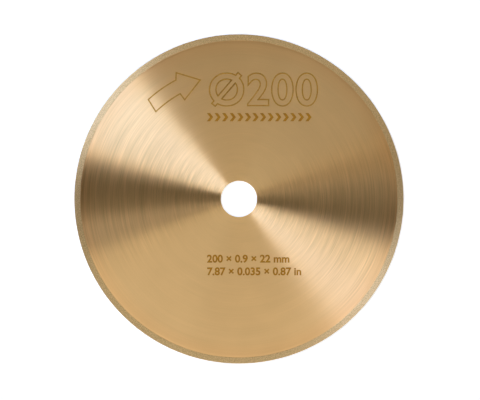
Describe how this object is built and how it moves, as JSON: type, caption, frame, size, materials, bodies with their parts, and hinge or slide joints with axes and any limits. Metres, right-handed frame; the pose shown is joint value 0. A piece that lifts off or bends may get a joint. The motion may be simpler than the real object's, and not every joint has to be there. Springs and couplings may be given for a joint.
{
  "type": "diamond wafering blade",
  "caption": "Thin round bronze blade with a narrow continuous diamond rim and a central spindle bore, for cutting thin sections from hard material.",
  "frame": {"origin": "on the bore's axis, halfway through the blade's thickness", "axes": "+Z along the spindle axis, out of the marked face; +Y towards the top of the markings"},
  "size_m": [0.2, 0.2, 0.0008],
  "materials": {
    "bronze_core": "bronze sheet, ground round the axis to a satin brushed face",
    "diamond_bond": "sintered bronze bond with fine diamond grit, dressed matt"
  },
  "bodies": {
    "root": {"blade_core": "bronze_core", "diamond_rim": "diamond_bond"}
  },
  "joints": []
}
